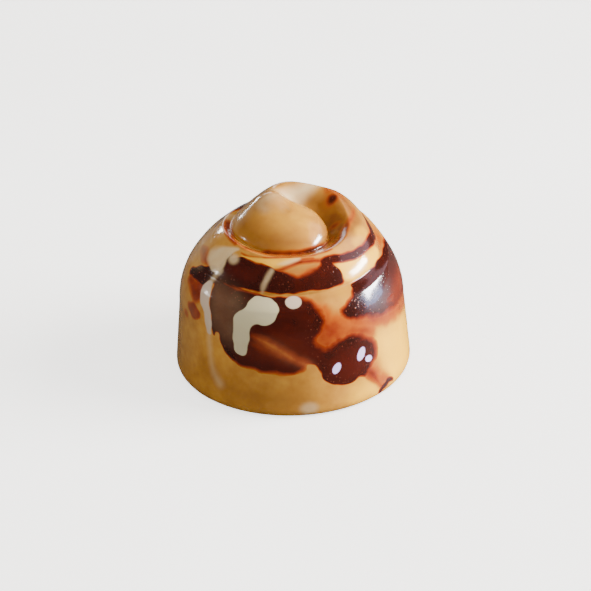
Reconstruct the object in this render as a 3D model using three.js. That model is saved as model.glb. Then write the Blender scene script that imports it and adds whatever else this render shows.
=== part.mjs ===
// A chocolate praline from a round mould: one solid dome whose top is a piped swirl.
// Millimetres, +Z up. The origin is the middle of the flat underside.
// Azimuths are in turns, clockwise seen from above, and start at the back (+Y).
import * as THREE from "three";

// Driving dimensions of the moulded dome
const BASE_RADIUS = 14;
const WALL_TOP_RADIUS = 13.25;
const WALL_HEIGHT = 8.7;
const DOME_RISE = 11.1;
const EDGE_RADIUS = 1;

// The knob in the middle of the swirl sits off the axis of the dome.
// The offset ends over a stretch of the dome's radius.
const KNOB_OFFSET = { x: -0.4, y: -0.3 };
const OFFSET_FADE = { from: 5.9, length: 4.1 };

// The furrow between the windings, by its distance down the dome from the apex:
// behind the knob, in front of it and under the outer winding
const REACH_AT_START = 4.7;
const INNER_REACH = 5.85;
const OUTER_REACH = 11.9;
const DRIFT_PER_TURN = 0.4;

// Whole turns to add to an azimuth for each time that the furrow can pass it.
// The furrow begins a little before turn 0.
const WINDINGS = [-1, 0, 1];

// Depth of the furrow beside the knob, in front of it and under the outer winding
const DEPTH_AT_START = 2.95;
const DEPTH_AT_FRONT = 1.35;
const DEPTH_OUTSIDE = 0.65;

// Width of the furrow's round side, towards the knob, and of the straight side
// that climbs outwards to a crest
const ROUND_SIDE = 4.1;
const ROUND_SIDE_FULLNESS = 0.96;
const CREST_SIDE_START = 2.6;
const CREST_SIDE_FRONT = 1.6;
const CREST_SIDE_BACK = 0.75;
const CREST_SIDE_SHOULDER = 2.3;
const CREST_SOFTNESS = 0.35;

// Stretches of the furrow, in turns, over which it begins, changes and ends
const FURROW_BEGINS = { from: -0.06, length: 0.22 };
const FURROW_FADES = { from: 1.4, length: 0.5 };
const REACH_LEAVES_START = { from: 0, length: 0.45 };
const REACH_STEPS_OUT = { from: 0.615, length: 0.645 };
const DEPTH_TO_FRONT = { from: 0, length: 0.55 };
const DEPTH_TO_OUTSIDE = { from: 0.5, length: 0.45 };
const CREST_TO_FRONT = { from: 0.06, length: 0.24 };
const CREST_TO_BACK = { from: 0.5, length: 0.22 };
const CREST_TO_SHOULDER = { from: 1.15, length: 0.45 };

// Broad rises and a dip that the piping leaves on the top: the peak of the knob,
// the rim behind it, the rim behind on the right and the hollow behind the knob
const SWELLS = [
  { x: -2.4, y: 2.05, height: 1.3, spread: 2.5 },
  { x: -0.15, y: 6.35, height: 2.25, spread: 3.65 },
  { x: 5.95, y: 6, height: 1.75, spread: 3.75 },
  { x: 0.2, y: 4.2, height: -1.25, spread: 2.05 },
];

// Facets
const AZIMUTH_STEPS = 96;
const DOME_STEPS = 46;
const WALL_STEPS = 3;
const EDGE_STEPS = 3;
const LEAST_DEPTH_FOLLOWED = 0.05;

const FULL_TURN = 2 * Math.PI;
const QUARTER_TURN = Math.PI / 2;
const MEAN_RADIUS = (WALL_TOP_RADIUS + DOME_RISE) / 2;
const DOME_ARC = MEAN_RADIUS * QUARTER_TURN;

// 0 before a stretch, 1 past it, smooth along it
function ease(value, stretch) {
  return THREE.MathUtils.smoothstep(value, stretch.from, stretch.from + stretch.length);
}

function mix(start, end, share) {
  return start + (end - start) * share;
}

// Distance of the furrow's bottom from the apex, after a number of turns
function furrowReach(turn) {
  const inner = mix(REACH_AT_START, INNER_REACH, ease(turn, REACH_LEAVES_START));
  const reach = mix(inner, OUTER_REACH, ease(turn, REACH_STEPS_OUT));
  const turnsOutside = Math.max(turn - REACH_STEPS_OUT.from - REACH_STEPS_OUT.length, 0);
  return reach + DRIFT_PER_TURN * turnsOutside;
}

function furrowDepth(turn) {
  const besideKnob = mix(DEPTH_AT_START, DEPTH_AT_FRONT, ease(turn, DEPTH_TO_FRONT));
  const lessOutside = (DEPTH_AT_FRONT - DEPTH_OUTSIDE) * ease(turn, DEPTH_TO_OUTSIDE);
  const present = ease(turn, FURROW_BEGINS) * (1 - ease(turn, FURROW_FADES));
  return (besideKnob - lessOutside) * present;
}

// Width of the straight side, from the furrow's bottom out to its crest
function crestSide(turn) {
  const inner = mix(CREST_SIDE_START, CREST_SIDE_FRONT, ease(turn, CREST_TO_FRONT));
  const narrowing = (CREST_SIDE_FRONT - CREST_SIDE_BACK) * ease(turn, CREST_TO_BACK);
  const widening = (CREST_SIDE_SHOULDER - CREST_SIDE_BACK) * ease(turn, CREST_TO_SHOULDER);
  return inner - narrowing + widening;
}

// Share of the full depth, by the distance outwards from the furrow's bottom
function furrowSection(outwards, crestWidth) {
  if (outwards < 0) {
    const inside = Math.max(1 + outwards / ROUND_SIDE, 0);
    const bulge = 1 - Math.sqrt(1 - ROUND_SIDE_FULLNESS * inside * inside);
    return bulge / (1 - Math.sqrt(1 - ROUND_SIDE_FULLNESS));
  }
  const straight = Math.max(1 - outwards / crestWidth, 0);
  const soft = THREE.MathUtils.smoothstep(straight, 0, 1);
  return mix(straight, soft, CREST_SOFTNESS);
}

function furrowCut(azimuth, reach) {
  let cut = 0;
  for (const winding of WINDINGS) {
    const turn = azimuth + winding;
    const section = furrowSection(reach - furrowReach(turn), crestSide(turn));
    cut = Math.max(cut, furrowDepth(turn) * section);
  }
  return cut;
}

// A point of the plain dome, with the outward and upward parts of its normal
function domePoint(reach) {
  const angle = Math.min(reach / MEAN_RADIUS, QUARTER_TURN);
  const down = THREE.MathUtils.clamp(reach - DOME_ARC, 0, WALL_HEIGHT);
  const height = WALL_HEIGHT + DOME_RISE * Math.cos(angle) - down;
  const flare = ((BASE_RADIUS - WALL_TOP_RADIUS) * down) / WALL_HEIGHT;
  const intoEdge = Math.max(1 - height / EDGE_RADIUS, 0);
  const rounding = EDGE_RADIUS * (1 - Math.sqrt(1 - intoEdge * intoEdge));
  const radius = WALL_TOP_RADIUS * Math.sin(angle) + flare - rounding;
  const outward = Math.sin(angle) * DOME_RISE;
  const upward = Math.cos(angle) * WALL_TOP_RADIUS;
  const normal = new THREE.Vector2(outward, upward).normalize();
  return { radius, height, outward: normal.x, upward: normal.y };
}

function swellHeight(x, y) {
  let height = 0;
  for (const swell of SWELLS) {
    const far = Math.hypot(x - swell.x, y - swell.y) / swell.spread;
    height += swell.height * Math.exp(-far * far);
  }
  return height;
}

function swirlPoint(azimuth, reach) {
  const dome = domePoint(reach);
  const cut = furrowCut(azimuth, reach);
  const radius = dome.radius - cut * dome.outward;
  const offset = 1 - ease(dome.radius, OFFSET_FADE);
  const angle = azimuth * FULL_TURN;
  const x = radius * Math.sin(angle) + KNOB_OFFSET.x * offset;
  const y = radius * Math.cos(angle) + KNOB_OFFSET.y * offset;
  const swellShare = Math.min(dome.height / WALL_HEIGHT, 1);
  const z = dome.height - cut * dome.upward + swellHeight(x, y) * swellShare;
  return new THREE.Vector3(x, y, z);
}

// Distances down the dome and the wall at which the rings of facets lie
function ringReaches() {
  const reaches = [];
  for (let step = 1; step <= DOME_STEPS; step += 1) {
    reaches.push((DOME_ARC * step) / DOME_STEPS);
  }
  const straightWall = WALL_HEIGHT - EDGE_RADIUS;
  for (let step = 1; step <= WALL_STEPS; step += 1) {
    reaches.push(DOME_ARC + (straightWall * step) / WALL_STEPS);
  }
  for (let step = 1; step <= EDGE_STEPS; step += 1) {
    const round = Math.sin((step / EDGE_STEPS) * QUARTER_TURN);
    reaches.push(DOME_ARC + straightWall + EDGE_RADIUS * round);
  }
  return reaches;
}

// A ring that passes close to the bottom of the furrow runs along it there
function followFurrow(azimuth, reach) {
  const spacing = DOME_ARC / DOME_STEPS;
  for (const winding of WINDINGS) {
    const turn = azimuth + winding;
    const bottom = furrowReach(turn);
    const deep = furrowDepth(turn) > LEAST_DEPTH_FOLLOWED;
    if (deep && Math.abs(reach - bottom) <= spacing / 2) {
      return bottom;
    }
  }
  return reach;
}

// Rings of points from the apex to the underside, closed by a fan at each end
function pralineGeometry() {
  const reaches = ringReaches();
  const points = [swirlPoint(0, 0)];
  for (const reach of reaches) {
    for (let step = 0; step < AZIMUTH_STEPS; step += 1) {
      const azimuth = step / AZIMUTH_STEPS;
      points.push(swirlPoint(azimuth, followFurrow(azimuth, reach)));
    }
  }
  points.push(new THREE.Vector3(0, 0, 0));

  const at = (ring, step) => 1 + ring * AZIMUTH_STEPS + (step % AZIMUTH_STEPS);
  const apex = 0;
  const underside = points.length - 1;
  const lastRing = reaches.length - 1;
  const faces = [];
  for (let step = 0; step < AZIMUTH_STEPS; step += 1) {
    faces.push(apex, at(0, step + 1), at(0, step));
    for (let ring = 0; ring < lastRing; ring += 1) {
      faces.push(at(ring, step), at(ring, step + 1), at(ring + 1, step + 1));
      faces.push(at(ring, step), at(ring + 1, step + 1), at(ring + 1, step));
    }
    faces.push(underside, at(lastRing, step), at(lastRing, step + 1));
  }

  const geometry = new THREE.BufferGeometry().setFromPoints(points);
  geometry.setIndex(faces);
  geometry.computeVertexNormals();
  return geometry;
}

const glossyChocolate = new THREE.MeshStandardMaterial({
  color: 0xc99a58,
  roughness: 0.25,
  metalness: 0,
});

const praline = new THREE.Mesh(pralineGeometry(), glossyChocolate);
praline.name = "praline";

const group = new THREE.Group();
group.add(praline);

export default group;
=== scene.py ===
"""The looks of a moulded chocolate praline, marbled in dark, caramel and milk-white cocoa butter.

The body follows the solid's own rule at a finer pitch, in a Geometry Nodes tree. The marbling is a plan of
splashes, drips and drops, laid out over the swirl by azimuth and by distance down from the apex. Some of its
coats paint shade in the furrows and creases, and light on the tops, the lit right side and the knob's edges.
"""

import logging
import math
from dataclasses import dataclass, fields
from enum import Enum
from typing import NamedTuple, Union

import bpy
import numpy as np
from mathutils import Matrix, Vector

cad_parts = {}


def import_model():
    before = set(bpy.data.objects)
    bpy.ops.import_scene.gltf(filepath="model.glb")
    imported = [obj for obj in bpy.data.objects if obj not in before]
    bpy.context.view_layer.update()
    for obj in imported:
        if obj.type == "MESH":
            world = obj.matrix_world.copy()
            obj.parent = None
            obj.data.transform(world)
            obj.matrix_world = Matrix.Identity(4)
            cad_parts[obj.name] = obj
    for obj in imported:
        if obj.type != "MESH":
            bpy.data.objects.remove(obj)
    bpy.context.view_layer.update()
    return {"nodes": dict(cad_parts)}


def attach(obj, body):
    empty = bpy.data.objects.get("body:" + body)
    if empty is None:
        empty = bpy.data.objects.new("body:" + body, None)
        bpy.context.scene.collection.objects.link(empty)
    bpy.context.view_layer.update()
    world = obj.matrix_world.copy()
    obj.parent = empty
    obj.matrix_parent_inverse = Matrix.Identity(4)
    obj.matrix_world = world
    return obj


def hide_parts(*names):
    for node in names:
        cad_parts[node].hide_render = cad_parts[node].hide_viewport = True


LOG = logging.getLogger("praline")
MM = 0.001
FULL_TURN = 2 * math.pi
QUARTER_TURN = math.pi / 2

Number = Union["Wire", float]
Colour = tuple[int, int, int]


def linear(colour: Colour) -> tuple[float, float, float, float]:
    """Turns a display colour into the linear one that the shaders take.

    Args:
        colour: Red, green and blue, from 0 to 255.

    Returns:
        Red, green, blue and an alpha of 1, from 0 to 1.
    """
    shares = [channel / 255 for channel in colour]
    light = [share / 12.92 if share <= 0.04045 else ((share + 0.055) / 1.055) ** 2.4 for share in shares]
    return (light[0], light[1], light[2], 1.0)


def plug(tree: bpy.types.NodeTree, value: Number, socket: bpy.types.NodeSocket) -> None:
    """Feeds an input socket.

    Args:
        tree: The tree that the socket is in.
        value: A wire to link, or a plain number to set.
        socket: The input to feed.
    """
    if isinstance(value, Wire):
        tree.links.new(value.socket, socket)
    else:
        socket.default_value = value


class Wire:
    """A number on its way through a node tree. Arithmetic on it adds the nodes that it takes."""

    def __init__(self, tree: bpy.types.NodeTree, socket: bpy.types.NodeSocket) -> None:
        """Holds an output socket.

        Args:
            tree: The tree that the socket is in.
            socket: The output that carries the number.
        """
        self.tree = tree
        self.socket = socket

    def math(self, operation: str, *others: Number) -> "Wire":
        """Adds a math node.

        Args:
            operation: Blender's name of the operation.
            others: The operands after this wire.

        Returns:
            The result.
        """
        node = self.tree.nodes.new("ShaderNodeMath")
        node.operation = operation
        for socket, value in zip(node.inputs, (self, *others)):
            plug(self.tree, value, socket)
        return Wire(self.tree, node.outputs[0])

    def __add__(self, other: Number) -> "Wire":
        """Sum."""
        return self.math("ADD", other)

    def __radd__(self, other: Number) -> "Wire":
        """Sum."""
        return self.math("ADD", other)

    def __mul__(self, other: Number) -> "Wire":
        """Product."""
        return self.math("MULTIPLY", other)

    def __sub__(self, other: Number) -> "Wire":
        """Difference."""
        return self.math("SUBTRACT", other)

    def __rsub__(self, other: float) -> "Wire":
        """Difference, from a plain number."""
        return self.math("MULTIPLY", -1.0).math("ADD", other)

    def __truediv__(self, other: Number) -> "Wire":
        """Quotient."""
        return self.math("DIVIDE", other)

    def root(self) -> "Wire":
        """Square root."""
        return self.math("SQRT")

    def least(self, other: Number) -> "Wire":
        """The smaller of two."""
        return self.math("MINIMUM", other)

    def most(self, other: Number) -> "Wire":
        """The larger of two."""
        return self.math("MAXIMUM", other)

    def share(self) -> "Wire":
        """Held between 0 and 1."""
        return self.most(0.0).least(1.0)

    def ease(self, start: Number, length: Number) -> "Wire":
        """Goes smoothly from 0 to 1 along a stretch.

        Args:
            start: The value at which the stretch begins.
            length: How far the stretch goes.

        Returns:
            0 before the stretch and 1 past it.
        """
        node = self.tree.nodes.new("ShaderNodeMapRange")
        node.interpolation_type = "SMOOTHSTEP"
        plug(self.tree, self, node.inputs["Value"])
        plug(self.tree, start, node.inputs["From Min"])
        plug(self.tree, start + length, node.inputs["From Max"])
        return Wire(self.tree, node.outputs[0])

    def between(self, low: Number, high: Number) -> "Wire":
        """Mixes two numbers by this share.

        Args:
            low: The number at a share of 0.
            high: The number at a share of 1.

        Returns:
            The mixed number.
        """
        if isinstance(low, Wire) or isinstance(high, Wire):
            return self * (high - low) + low
        return self * float(high - low) + float(low)


class NodeBoard:
    """Adds shader nodes to a tree."""

    def __init__(self, tree: bpy.types.NodeTree) -> None:
        """Takes the tree to work on."""
        self.tree = tree

    def node(self, kind: str, **inputs: object) -> bpy.types.Node:
        """Adds a node and feeds its inputs.

        Args:
            kind: The node's type.
            inputs: Wires, sockets or plain values, by the input's name with underscores for spaces.

        Returns:
            The node.
        """
        node = self.tree.nodes.new(kind)
        self.feed_all(node, **inputs)
        return node

    def feed(self, socket: bpy.types.NodeSocket, value: object) -> None:
        """Links a wire or a socket to an input, or sets its plain value.

        Args:
            socket: The input.
            value: A wire, a socket or a plain value.
        """
        if isinstance(value, bpy.types.NodeSocket):
            self.tree.links.new(value, socket)
        else:
            plug(self.tree, value, socket)

    def feed_all(self, node: bpy.types.Node, **inputs: object) -> None:
        """Feeds inputs of a node, by their names with underscores for spaces."""
        for name, value in inputs.items():
            self.feed(node.inputs[name.replace("_", " ")], value)

    def wire(self, socket: bpy.types.NodeSocket) -> Wire:
        """A wire from an output."""
        return Wire(self.tree, socket)

    def attribute(self, name: str) -> Wire:
        """Reads a float attribute of the mesh.

        Args:
            name: The attribute.

        Returns:
            A wire with its number.
        """
        node = self.tree.nodes.new("ShaderNodeAttribute")
        node.attribute_name = name
        return self.wire(node.outputs["Fac"])

    def blend(self, share: Number, first: object, second: object) -> bpy.types.NodeSocket:
        """Mixes two colours.

        Args:
            share: Share of the second colour.
            first: A colour socket or a linear colour.
            second: A colour socket or a linear colour.

        Returns:
            The mixed colour.
        """
        node = self.tree.nodes.new("ShaderNodeMix")
        node.data_type = "RGBA"
        sockets = {socket.identifier: socket for socket in node.inputs}
        self.feed(sockets["Factor_Float"], share)
        self.feed(sockets["A_Color"], first)
        self.feed(sockets["B_Color"], second)
        return next(socket for socket in node.outputs if socket.identifier == "Result_Color")

    def ramp(self, place: Wire, stops: tuple[tuple[float, Colour], ...]) -> bpy.types.NodeSocket:
        """Looks a number up on a row of colours.

        Args:
            place: The number, from 0 to 1.
            stops: Places and their colours.

        Returns:
            The colour.
        """
        node = self.node("ShaderNodeValToRGB", Fac=place)
        elements = node.color_ramp.elements
        while len(elements) < len(stops):
            elements.new(0.5)
        for element, (position, colour) in zip(elements, stops):
            element.position = position
            element.color = linear(colour)
        return node.outputs["Color"]

    def group(self, tree: bpy.types.NodeTree, **inputs: object) -> bpy.types.Node:
        """Places a node group and feeds its named inputs.

        Args:
            tree: The group.
            inputs: Wires, sockets or plain values, by the input's name with underscores for spaces.

        Returns:
            The node that holds the group.
        """
        node = self.tree.nodes.new("ShaderNodeGroup")
        node.node_tree = tree
        self.feed_all(node, **inputs)
        return node


class Stretch(NamedTuple):
    """A stretch of the furrow, in turns, along which something changes."""

    start: float
    length: float


class Swell(NamedTuple):
    """A broad rise of the top, or a dip where its height is negative."""

    x: float
    y: float
    height: float
    spread: float


class Offset(NamedTuple):
    """A shift across the base."""

    x: float
    y: float


WINDINGS = (-1.0, 0.0, 1.0)
SWELLS = ("peak", "back_rim", "right_rim", "back_hollow")
LEAST_DEPTH_FOLLOWED = 0.05 * MM
UNEVENNESS_DETAIL = 2.0


@dataclass
class SwirlBody:
    """The whole praline: a dome on a round wall, with a furrow that winds round its knob."""

    base_radius: float = 14 * MM
    wall_top_radius: float = 13.25 * MM
    wall_height: float = 8.7 * MM
    dome_rise: float = 11.1 * MM
    edge_radius: float = 1 * MM

    knob_offset: Offset = Offset(-0.4 * MM, -0.3 * MM)
    offset_fade: Stretch = Stretch(5.9 * MM, 4.1 * MM)

    reach_at_start: float = 4.7 * MM
    inner_reach: float = 5.85 * MM
    outer_reach: float = 11.9 * MM
    drift_per_turn: float = 0.4 * MM
    depth_at_start: float = 2.95 * MM
    depth_at_front: float = 1.35 * MM
    depth_outside: float = 0.65 * MM
    round_side: float = 4.1 * MM
    round_side_fullness: float = 0.96
    crest_side_start: float = 2.6 * MM
    crest_side_front: float = 1.6 * MM
    crest_side_back: float = 0.75 * MM
    crest_side_shoulder: float = 2.3 * MM
    crest_softness: float = 0.35

    furrow_begins: Stretch = Stretch(-0.06, 0.22)
    furrow_fades: Stretch = Stretch(1.4, 0.5)
    reach_leaves_start: Stretch = Stretch(0, 0.45)
    reach_steps_out: Stretch = Stretch(0.615, 0.645)
    depth_to_front: Stretch = Stretch(0, 0.55)
    depth_to_outside: Stretch = Stretch(0.5, 0.45)
    crest_to_front: Stretch = Stretch(0.06, 0.24)
    crest_to_back: Stretch = Stretch(0.5, 0.22)
    crest_to_shoulder: Stretch = Stretch(1.15, 0.45)

    peak: Swell = Swell(-2.4 * MM, 2.05 * MM, 1.3 * MM, 2.5 * MM)
    back_rim: Swell = Swell(-0.15 * MM, 6.35 * MM, 2.25 * MM, 3.65 * MM)
    right_rim: Swell = Swell(5.95 * MM, 6 * MM, 1.75 * MM, 3.75 * MM)
    back_hollow: Swell = Swell(0.2 * MM, 4.2 * MM, -1.25 * MM, 2.05 * MM)

    unevenness: float = 0.05 * MM
    unevenness_per_metre: float = 260

    azimuth_steps: int = 400
    dome_rings: int = 190
    wall_rings: int = 26
    edge_rings: int = 6
    underside_rings: int = 5

    def build(self, material: bpy.types.Material) -> bpy.types.Object:
        """Makes the body as a plain mesh.

        Args:
            material: The finish of the whole surface.

        Returns:
            The finished object, with its turn and reach attributes.
        """
        tree = SwirlTree(self, material)
        maker = bpy.data.objects.new("swirl_maker", bpy.data.meshes.new("swirl_maker"))
        bpy.context.scene.collection.objects.link(maker)
        modifier = maker.modifiers.new("Swirl", "NODES")
        modifier.node_group = tree.tree
        for identifier, value in tree.settings.items():
            modifier[identifier] = value
        graph = bpy.context.evaluated_depsgraph_get()
        mesh = bpy.data.meshes.new_from_object(
            maker.evaluated_get(graph), preserve_all_data_layers=True, depsgraph=graph
        )
        bpy.data.objects.remove(maker)
        mesh.name = "marbled_praline"
        body = bpy.data.objects.new("marbled_praline", mesh)
        bpy.context.scene.collection.objects.link(body)
        return body


class SwirlTree:
    """The Geometry Nodes tree of the body, with a named input for each of its sizes."""

    def __init__(self, sizes: SwirlBody, material: bpy.types.Material) -> None:
        """Builds the tree.

        Args:
            sizes: The body whose sizes become the inputs.
            material: The finish that the tree sets at its end.
        """
        self.sizes = sizes
        self.tree = bpy.data.node_groups.new("Piped swirl", "GeometryNodeTree")
        self.tree.interface.new_socket(name="Geometry", in_out="OUTPUT", socket_type="NodeSocketGeometry")
        self.board = NodeBoard(self.tree)
        self.settings: dict[str, float] = {}
        names: dict[str, list[str]] = {}
        for size in fields(sizes):
            names[size.name] = self._add_inputs(size.name, getattr(sizes, size.name))
        inlet = self.tree.nodes.new("NodeGroupInput")
        self.dials = {
            name: [Wire(self.tree, inlet.outputs[socket]) for socket in sockets]
            for name, sockets in names.items()
        }
        self._assemble(material)

    def _add_inputs(self, name: str, value: Union[float, tuple]) -> list[str]:
        """Adds the inputs of one size.

        Args:
            name: The field that holds the size.
            value: Its number, or a named tuple of numbers.

        Returns:
            The names of the inputs.
        """
        title = name.replace("_", " ").capitalize()
        parts = value._asdict() if isinstance(value, tuple) else {"": value}
        kind = "NodeSocketInt" if isinstance(value, int) else "NodeSocketFloat"
        labels = []
        for part, number in parts.items():
            label = f"{title} {part}".strip()
            socket = self.tree.interface.new_socket(name=label, in_out="INPUT", socket_type=kind)
            self.settings[socket.identifier] = number if kind == "NodeSocketInt" else float(number)
            labels.append(label)
        return labels

    def dial(self, name: str) -> Wire:
        """The wire from the input of one plain size."""
        return self.dials[name][0]

    def eased(self, value: Number, stretch: str) -> Wire:
        """Where a value stands along one of the named stretches, from 0 to 1."""
        return value.ease(*self.dials[stretch])

    def furrow_reach(self, turn: Wire) -> Wire:
        """How far down from the apex the bottom of the furrow lies.

        Args:
            turn: Turns that the furrow has wound.

        Returns:
            The distance over the dome.
        """
        leaves = self.eased(turn, "reach_leaves_start")
        inner = leaves.between(self.dial("reach_at_start"), self.dial("inner_reach"))
        reach = self.eased(turn, "reach_steps_out").between(inner, self.dial("outer_reach"))
        start, length = self.dials["reach_steps_out"]
        outside = (turn - start - length).most(0.0)
        return reach + self.dial("drift_per_turn") * outside

    def furrow_depth(self, turn: Wire) -> Wire:
        """How deep the furrow cuts.

        Args:
            turn: Turns that the furrow has wound.

        Returns:
            The depth at its bottom.
        """
        front = self.dial("depth_at_front")
        beside_knob = self.eased(turn, "depth_to_front").between(self.dial("depth_at_start"), front)
        less_outside = (front - self.dial("depth_outside")) * self.eased(turn, "depth_to_outside")
        present = self.eased(turn, "furrow_begins") * (1.0 - self.eased(turn, "furrow_fades"))
        return (beside_knob - less_outside) * present

    def crest_side(self, turn: Wire) -> Wire:
        """How wide the furrow's straight side is.

        Args:
            turn: Turns that the furrow has wound.

        Returns:
            The distance from the furrow's bottom out to its crest.
        """
        front = self.dial("crest_side_front")
        back = self.dial("crest_side_back")
        inner = self.eased(turn, "crest_to_front").between(self.dial("crest_side_start"), front)
        narrowing = (front - back) * self.eased(turn, "crest_to_back")
        widening = (self.dial("crest_side_shoulder") - back) * self.eased(turn, "crest_to_shoulder")
        return inner - narrowing + widening

    def furrow_section(self, outwards: Wire, crest_width: Wire) -> Wire:
        """Share of the full depth across the furrow.

        Args:
            outwards: Distance outwards from the furrow's bottom.
            crest_width: Width of its straight side.

        Returns:
            1 at the bottom, 0 past either side.
        """
        fullness = self.dial("round_side_fullness")
        inside = (outwards / self.dial("round_side") + 1.0).share()
        round_share = (1.0 - (1.0 - fullness * inside * inside).root()) / (1.0 - (1.0 - fullness).root())
        straight = (1.0 - outwards / crest_width).share()
        soft = self.dial("crest_softness").between(straight, straight.ease(0.0, 1.0))
        return round_share.least(soft)

    def furrow_cut(self, azimuth: Wire, reach: Wire) -> Wire:
        """How much the windings of the furrow take away at a place.

        Args:
            azimuth: In turns, clockwise from above, from the back.
            reach: Distance from the apex.

        Returns:
            The depth of the deepest winding there.
        """
        cut: Number = 0.0
        for winding in WINDINGS:
            turn = azimuth + winding
            section = self.furrow_section(reach - self.furrow_reach(turn), self.crest_side(turn))
            cut = (self.furrow_depth(turn) * section).most(cut)
        return cut

    def follow_furrow(self, azimuth: Wire, reach: Wire) -> Wire:
        """Moves a ring that passes close to the bottom of the furrow onto it.

        Args:
            azimuth: In turns, clockwise from above, from the back.
            reach: Distance of the ring from the apex.

        Returns:
            The distance of the furrow's bottom where it is close, and the ring's own elsewhere.
        """
        spacing = self.dome_arc() / self.dial("dome_rings")
        for winding in WINDINGS:
            turn = azimuth + winding
            bottom = self.furrow_reach(turn)
            near = (reach - bottom).math("ABSOLUTE").math("LESS_THAN", spacing * 0.5)
            deep = self.furrow_depth(turn).math("GREATER_THAN", LEAST_DEPTH_FOLLOWED)
            reach = (near * deep).between(reach, bottom)
        return reach

    def mean_radius(self) -> Wire:
        """Radius of the circle that the dome's length is measured on."""
        return (self.dial("wall_top_radius") + self.dial("dome_rise")) * 0.5

    def dome_arc(self) -> Wire:
        """Distance from the apex to where the wall begins."""
        return self.mean_radius() * QUARTER_TURN

    def ring_reach(self, share: Wire) -> Wire:
        """Distance from the apex of a ring of points.

        Args:
            share: Place of the ring in the row of rings, from 0 to 1.

        Returns:
            The distance down the dome, the wall, round the edge and inwards under it.
        """
        dome, wall = self.dial("dome_rings"), self.dial("wall_rings")
        edge, underside = self.dial("edge_rings"), self.dial("underside_rings")
        ring = share * (dome + wall + edge + underside - 1.0) + 1.0
        edge_radius = self.dial("edge_radius")
        down_dome = (ring / dome).share() * self.dome_arc()
        down_wall = ((ring - dome) / wall).share() * (self.dial("wall_height") - edge_radius)
        round_edge = (((ring - dome - wall) / edge).share() * QUARTER_TURN).math("SINE") * edge_radius
        under = ((ring - dome - wall - edge) / (underside + 1.0)).share() * self.flat_radius()
        return down_dome + down_wall + round_edge + under

    def flat_radius(self) -> Wire:
        """Radius of the flat underside."""
        return self.dial("base_radius") - self.dial("edge_radius")

    def place(self, azimuth: Wire, reach: Wire) -> tuple[Wire, Wire, Wire]:
        """Works out where a point of the surface lies.

        Args:
            azimuth: In turns, clockwise from above, from the back.
            reach: Distance from the apex.

        Returns:
            X, Y and Z.
        """
        top, wall = self.dial("wall_top_radius"), self.dial("wall_height")
        rise, edge = self.dial("dome_rise"), self.dial("edge_radius")
        angle = (reach / self.mean_radius()).least(QUARTER_TURN)
        sine, cosine = angle.math("SINE"), angle.math("COSINE")
        past_dome = (reach - self.dome_arc()).most(0.0)
        down = past_dome.least(wall)
        under = past_dome - down
        height = (wall + rise * cosine - down).most(0.0)
        flare = (self.dial("base_radius") - top) * down / wall
        into_edge = (1.0 - height / edge).share()
        rounding = edge * (1.0 - (1.0 - into_edge * into_edge).most(0.0).root())
        radius = (top * sine + flare - rounding - under).most(0.0)

        slope = ((sine * rise) * (sine * rise) + (cosine * top) * (cosine * top)).root()
        cut = self.furrow_cut(azimuth, reach)
        offset = 1.0 - self.eased(radius, "offset_fade")
        cut_radius = radius - cut * sine * rise / slope
        turned = azimuth * FULL_TURN
        offset_x, offset_y = self.dials["knob_offset"]
        on_top = height.math("GREATER_THAN", 0.0)
        x = cut_radius * turned.math("SINE") + offset_x * offset * on_top
        y = cut_radius * turned.math("COSINE") + offset_y * offset * on_top
        swells = sum((self.swell(name, x, y) for name in SWELLS), 0.0)
        z = height - cut * cosine * top / slope + swells * (height / wall).least(1.0)
        return x, y, z

    def swell(self, name: str, x: Wire, y: Wire) -> Wire:
        """Works out one of the broad rises at a place.

        Args:
            name: The size that holds the rise.
            x: Place to the right.
            y: Place to the back.

        Returns:
            The height that it adds there.
        """
        centre_x, centre_y, height, spread = self.dials[name]
        across, along = x - centre_x, y - centre_y
        far = (across * across + along * along) / (spread * spread)
        return height * (far * -1.0).math("EXPONENT")

    def _assemble(self, material: bpy.types.Material) -> None:
        """Chains the tree: rings of points, their place, their unevenness and the finish.

        Args:
            material: The finish that the tree sets at its end.
        """
        rings = sum((self.dial(part) for part in ("wall_rings", "edge_rings", "underside_rings")), -1.0)
        tube = self.board.node(
            "GeometryNodeMeshCylinder",
            Vertices=self.dial("azimuth_steps"),
            Side_Segments=rings + self.dial("dome_rings"),
            Radius=1.0,
            Depth=1.0,
        )
        tube.fill_type = "TRIANGLE_FAN"
        position = self.board.node("GeometryNodeInputPosition").outputs[0]
        split = self.board.node("ShaderNodeSeparateXYZ", Vector=position)
        x, y, z = (Wire(self.tree, socket) for socket in split.outputs)
        on_ring = (x * x + y * y).math("GREATER_THAN", 0.5)
        share = 0.5 - z
        azimuth = (x.math("ARCTAN2", y) / FULL_TURN).math("FRACT")
        whole = self.dome_arc() + self.dial("wall_height") + self.flat_radius()
        middle = share.math("GREATER_THAN", 0.5) * whole
        reach = on_ring.between(middle, self.follow_furrow(azimuth, self.ring_reach(share)))

        geometry = tube.outputs["Mesh"]
        for name, value in (("turn", azimuth), ("reach", reach)):
            store = "GeometryNodeStoreNamedAttribute"
            geometry = self.board.node(store, Geometry=geometry, Name=name, Value=value).outputs[0]
        place = self.board.node("ShaderNodeCombineXYZ")
        for socket, value in zip(place.inputs, self.place(azimuth, reach)):
            self.board.feed(socket, value)
        shaped = self.board.node("GeometryNodeSetPosition", Geometry=geometry, Position=place.outputs[0])
        uneven = self.board.node(
            "GeometryNodeSetPosition", Geometry=shaped.outputs[0], Offset=self._uneven_offset().outputs[0]
        )
        smooth = self.board.node("GeometryNodeSetShadeSmooth", Geometry=uneven.outputs[0])
        real = self.board.node("GeometryNodeRealizeInstances", Geometry=smooth.outputs[0])
        finish = self.board.node("GeometryNodeSetMaterial", Geometry=real.outputs[0])
        finish.inputs["Material"].default_value = material
        outlet = self.tree.nodes.new("NodeGroupOutput")
        self.board.feed(outlet.inputs[0], finish.outputs[0])

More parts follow.
